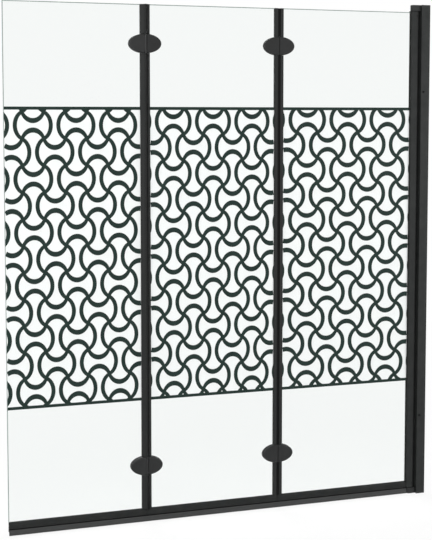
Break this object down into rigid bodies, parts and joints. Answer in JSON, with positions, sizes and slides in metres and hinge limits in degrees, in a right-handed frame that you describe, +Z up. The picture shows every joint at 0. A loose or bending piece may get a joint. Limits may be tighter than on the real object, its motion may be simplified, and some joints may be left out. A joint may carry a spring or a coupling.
{
  "type": "folding bath screen",
  "caption": "Folding glass bath screen: printed panes joined by oval hinges and seals, on a post that turns in a black wall profile, with drip seals along the foot.",
  "frame": {"origin": "on the wall face, at the foot of the wall profile and in the middle plane of the glass", "axes": "+X into the wall, with the panels reaching out along -X; -Y towards the bath; +Z up"},
  "size_m": [1.191, 0.0358, 1.4],
  "materials": {
    "glass": "clear toughened glass with a printed band",
    "glass_print": "dark green grey ceramic ink fired on the glass",
    "glass_frost": "white frost print on the glass",
    "black_profile": "satin black powder coat on extruded aluminium",
    "black_rail": "satin black powder coat",
    "drip_seal": "dark grey soft vinyl",
    "cap_plastic": "fine grained",
    "hinge_metal": "satin black coating on die-cast metal",
    "edge_seal": "black soft vinyl",
    "gasket": "matt black",
    "bush_plastic": "moulded",
    "black_screw": "black oxide",
    "steel": "turned stainless steel"
  },
  "bodies": {
    "wall_frame": {"wall_channel": "black_profile", "jamb_profile": "black_profile", "jamb_seal": "edge_seal", "bottom_cap": "cap_plastic", "top_cap": "cap_plastic", "pivot_pins": "steel", "side_screws": "black_screw", "cap_screws": "black_screw"},
    "wall_panel": {"wall_panel_glass": "glass", "wall_panel_rail": "black_rail", "wall_panel_drip_seal": "drip_seal", "inner_bead_seal": "edge_seal", "inner_upper_knuckle_leaf": "hinge_metal", "inner_upper_knuckle_cover": "hinge_metal", "inner_lower_knuckle_leaf": "hinge_metal", "inner_lower_knuckle_cover": "hinge_metal", "wall_panel_hinge_pads": "gasket", "wall_panel_hinge_screws": "steel", "wall_panel_screw_plugs": "bush_plastic", "pivot_post": "black_profile", "post_gasket": "gasket", "pivot_bushes": "bush_plastic", "bush_screws": "black_screw"},
    "middle_panel": {"middle_panel_glass": "glass", "middle_panel_rail": "black_rail", "middle_panel_drip_seal": "drip_seal", "outer_groove_seal": "edge_seal", "outer_upper_fork_leaf": "hinge_metal", "outer_upper_fork_cover": "hinge_metal", "outer_lower_fork_leaf": "hinge_metal", "outer_lower_fork_cover": "hinge_metal", "inner_groove_seal": "edge_seal", "inner_upper_fork_leaf": "hinge_metal", "inner_upper_fork_cover": "hinge_metal", "inner_lower_fork_leaf": "hinge_metal", "inner_lower_fork_cover": "hinge_metal", "middle_panel_hinge_pads": "gasket", "middle_panel_hinge_screws": "steel", "middle_panel_screw_plugs": "bush_plastic", "outer_hinge_pins": "steel", "inner_hinge_pins": "steel"},
    "outer_panel": {"outer_panel_glass": "glass", "outer_panel_rail": "black_rail", "outer_panel_drip_seal": "drip_seal", "outer_bead_seal": "edge_seal", "outer_upper_knuckle_leaf": "hinge_metal", "outer_upper_knuckle_cover": "hinge_metal", "outer_lower_knuckle_leaf": "hinge_metal", "outer_lower_knuckle_cover": "hinge_metal", "outer_panel_hinge_pads": "gasket", "outer_panel_hinge_screws": "steel", "outer_panel_screw_plugs": "bush_plastic"}
  },
  "joints": [
    {"name": "wall_pivot", "type": "hinge", "parent": "wall_frame", "child": "wall_panel", "pos_m": [-0.036, 0, 0], "axis": [0, 0, 1], "range_deg": [0, 90]},
    {"name": "inner_fold", "type": "hinge", "parent": "wall_panel", "child": "middle_panel", "pos_m": [-0.448, 0.0125, 0], "axis": [0, 0, -1], "range_deg": [0, 180]},
    {"name": "outer_fold", "type": "hinge", "parent": "middle_panel", "child": "outer_panel", "pos_m": [-0.822, -0.0125, 0], "axis": [0, 0, 1], "range_deg": [0, 180]}
  ]
}
